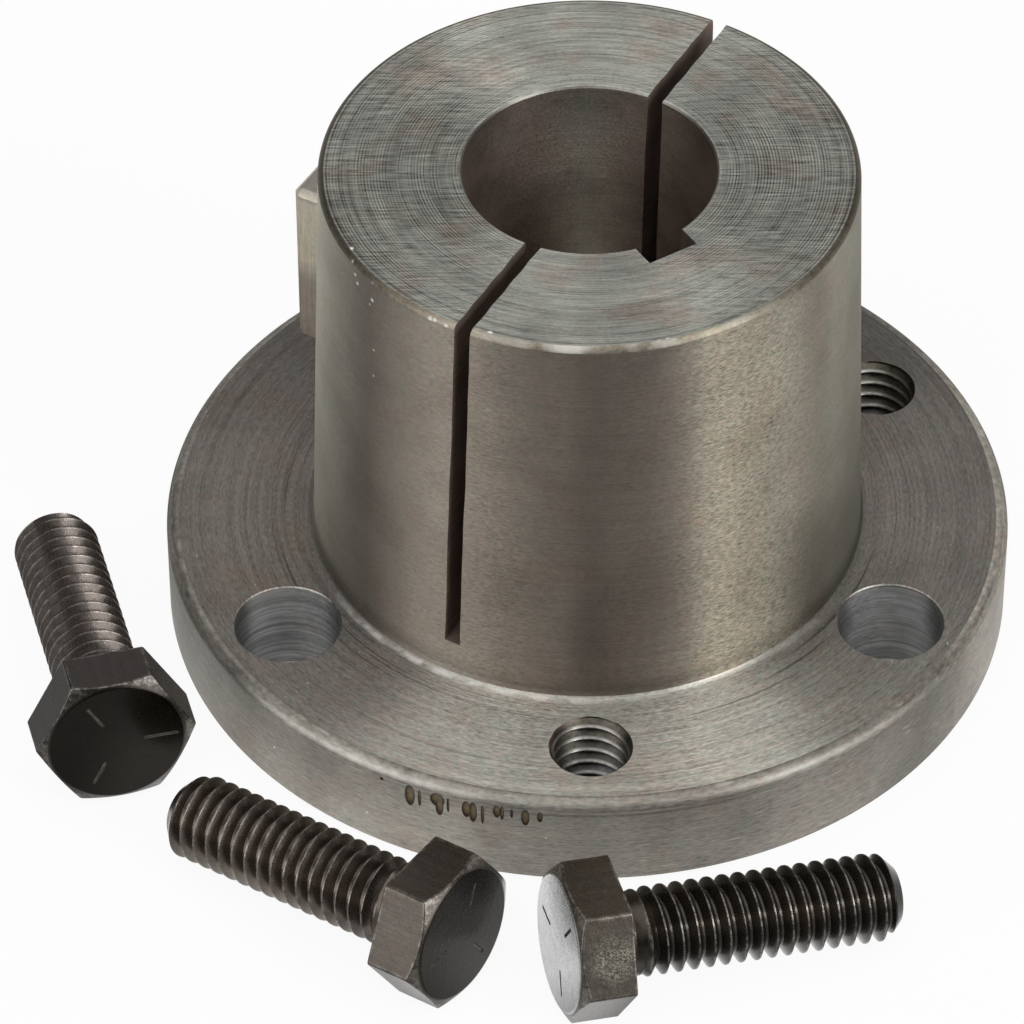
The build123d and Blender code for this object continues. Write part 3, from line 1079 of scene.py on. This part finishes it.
# One finish for all three screws: their oxide colours and shank tones differ as painted light and shade, and
# the right screw's light grey face is a painted reflection, with dark marks against it
cap_screw("cap_screw_left", lying_left,
          oxide("oxide_left", lying_left, (0.045, 0.038, 0.034), (0.009, 0.006, 0.003), shank=2.6),
          worn_mark, ((-120, 4.9), (0, 5.5), (120, 4.9)))
cap_screw("cap_screw_middle", lying_middle,
          oxide("oxide_middle", lying_middle, (0.072, 0.060, 0.050), (0.013, 0.010, 0.004), shank=1.45),
          worn_mark, ((60, 4.7), (180, 4.7), (-60, 4.7)))
cap_screw("cap_screw_right", lying_right,
          oxide("oxide_right", lying_right, (0.084, 0.073, 0.060), (0.54, 0.54, 0.54), shank=0.5,
                scraped=((5.7, -3.1, -1.9), (2.4, 2.6, 2.6))),
          dark_mark, ((60, 4.7), (180, 4.7), (-60, 4.7)))


# Studio: soft light by direction round the part, as (angle, half width, strength) with 0 along +X
FLOOR_CLOSE = ((-150, 60, 1.0), (-90, 60, 0.85), (-30, 60, 0.9), (90, 60, 0.5))
FLOOR_NEAR = ((-150, 60, 0.42), (-90, 60, 0.30), (-30, 60, 0.34), (90, 60, 0.06))
FLOOR_FAR = ((-150, 32, 0.2), (-30, 32, 1.2), (0, 32, 0.6), (45, 50, 1.5), (135, 50, 1.5), (180, 50, 0.25))
SKY_LOW = ((-150, 32, 2.6), (-120, 32, 0.2), (-30, 30, 3.5), (45, 50, 0.3), (90, 50, 0.2))
SKY_MIDDLE = ((-135, 45, 1.8), (-40, 40, 0.45), (45, 45, 0.12), (90, 45, 0.55))
SKY_TOP = 1.38

# White floor that shows in the lower sides of the screws: the middle and half sizes of each patch
UNDER_SCREWS = (
    ((-1, -59, 0), (10, 8, 2)), ((-17.5, -56, 0), (8, 7, 2)), ((10.4, -52.5, 0), (5, 3, 2)),
    ((17.1, -50.5, 0), (5, 3, 2)), ((23.8, -48.5, 0), (5, 3, 2)),
)


def glow(g, across_x, across_y, boxes):
    """Soft light round the part by direction: (angle, half width, strength) of each box."""
    shares = []
    for angle, half_width, power in boxes:
        facing = g.times(across_x, cos(radians(angle)))
        facing = g.fused(across_y, sin(radians(angle)), facing)
        shares.append(g.soft(facing, cos(radians(half_width)), 1.0, 0.0, power))
    return g.plus(*shares)


def blend(g, share, inside, outside):
    """inside where the share is one, and outside where it is zero."""
    return g.plus(g.times(share, inside), g.times(g.minus(1.0, share), outside))


# Floor: white for the camera. Metal sees it white far off, and near the part by what light falls there.
# Sizes are in metres, and the two shares are the floor's white under the flange and beside it
FLOOR_HALF = 4
FLOOR_GAP = 0.00003
COVERED_SHARE = 0.12
OPEN_SHARE = 0.93
floor_mesh = bpy.data.meshes.new("floor")
corners = [(x * FLOOR_HALF, y * FLOOR_HALF, 0) for x, y in ((-1, -1), (1, -1), (1, 1), (-1, 1))]
floor_mesh.from_pydata(corners, [], [(0, 1, 2, 3)])
floor = add_object("floor", floor_mesh)
floor.location.z = -FLOOR_GAP
floor_finish, g = material("floor_white")
ray = g.node("ShaderNodeLightPath").outputs
at = place_of(g)
near = g.soft(at.r, 160, 60)
close = g.soft(at.r, 56, 49)
distant = g.soft(at.r, 900, 1500)
near_light = blend(g, close, glow(g, at.cx, at.cy, FLOOR_CLOSE), glow(g, at.cx, at.cy, FLOOR_NEAR))
lit = blend(g, near, near_light, glow(g, at.cx, at.cy, FLOOR_FAR))
lit = g.most(lit, spots(g, at, UNDER_SCREWS))
whitened = g.most(distant, ray["Is Camera Ray"])
mirrored = g.plus(g.times(lit, g.minus(1.0, whitened)), whitened)
seen = g.most(ray["Is Camera Ray"], ray["Is Glossy Ray"], ray["Is Transmission Ray"])
matt = g.out("ShaderNodeBsdfDiffuse", (0.8, 0.8, 0.8))
white = g.out("ShaderNodeEmission", (1, 1, 1), mirrored)
uncovered = g.ramp(at.r, flange_radius - 1.5, flange_radius - 0.5, COVERED_SHARE, OPEN_SHARE)
share = g.times(seen, uncovered)
g.node("ShaderNodeOutputMaterial", g.out("ShaderNodeMixShader", share, matt, white))
floor.data.materials.append(floor_finish)

# World: white for the camera. For the light it is a studio with soft boxes on both sides and one above
world = bpy.data.worlds.new("studio")
bpy.context.scene.world = world
world.use_nodes = True
g = Graph(world.node_tree)
ray = g.node("ShaderNodeLightPath").outputs
x, y, z = g.node("ShaderNodeSeparateXYZ", g.node("ShaderNodeTexCoord").outputs["Generated"]).outputs
level = g.most(g.length(x, y), 0.001)
round_x = g.math("DIVIDE", x, level)
round_y = g.math("DIVIDE", y, level)
low = g.soft(z, 0.5, 0.2)
overhead = g.soft(z, 0.72, 0.92)
middle = g.minus(g.minus(1.0, low), overhead)
studio = g.times(low, glow(g, round_x, round_y, SKY_LOW))
studio = g.fused(middle, glow(g, round_x, round_y, SKY_MIDDLE), studio)
studio = g.fused(overhead, SKY_TOP, studio)
mirrored = g.most(ray["Is Glossy Ray"], ray["Is Transmission Ray"])
horizon = g.times(g.ramp(z, 0.06, 0.02), mirrored)
backdrop = g.most(ray["Is Camera Ray"], horizon)
strength = g.plus(g.times(studio, g.minus(1.0, backdrop)), backdrop)
g.node("ShaderNodeOutputWorld", g.out("ShaderNodeBackground", (1, 1, 1), strength))


# Key light: one small soft box, for the highlights on the screws. Angles in degrees and sizes in metres
key_light_angle = radians(-38)
key_light_height = radians(34)
key_light_away = 1.2
key_light_size = 0.35
key_light_radiance = 12.0
key_place = Vector((
    cos(key_light_angle) * cos(key_light_height),
    sin(key_light_angle) * cos(key_light_height),
    sin(key_light_height),
)) * key_light_away
key_data = bpy.data.lights.new("key_light", "AREA")
key_data.size = key_light_size
key_data.energy = key_light_radiance * pi * key_light_size**2
key_light = add_object("key_light", key_data)
key_light.location = key_place
key_light.rotation_euler = (-key_place).to_track_quat("-Z", "Y").to_euler()

# Camera: solved from the outlines of flange, barrel, bore and holes in the photograph
elevation = radians(43.175)
roll = radians(-0.233)
target = Vector((-6.811, 0, 8.556)) * MM
distance = 590.869 * MM
focal_pixels = 6513.85
frame_pixels = 1024
sensor_width = 36
forward = Vector((0, cos(elevation), -sin(elevation)))
flat_right = Vector((1, 0, 0))
flat_up = Vector((0, sin(elevation), cos(elevation)))
right = flat_right * cos(roll) + flat_up * sin(roll)
up = flat_up * cos(roll) - flat_right * sin(roll)
eye = target - forward * distance
lens = bpy.data.cameras.new("camera")
lens.lens = sensor_width * focal_pixels / frame_pixels
lens.sensor_width = sensor_width
lens.clip_start = 0.01
lens.clip_end = 20
camera = add_object("camera", lens)
camera.matrix_world = frame_of(right, up, -forward, eye)
bpy.context.scene.camera = camera
bpy.context.scene.view_settings.view_transform = "Standard"
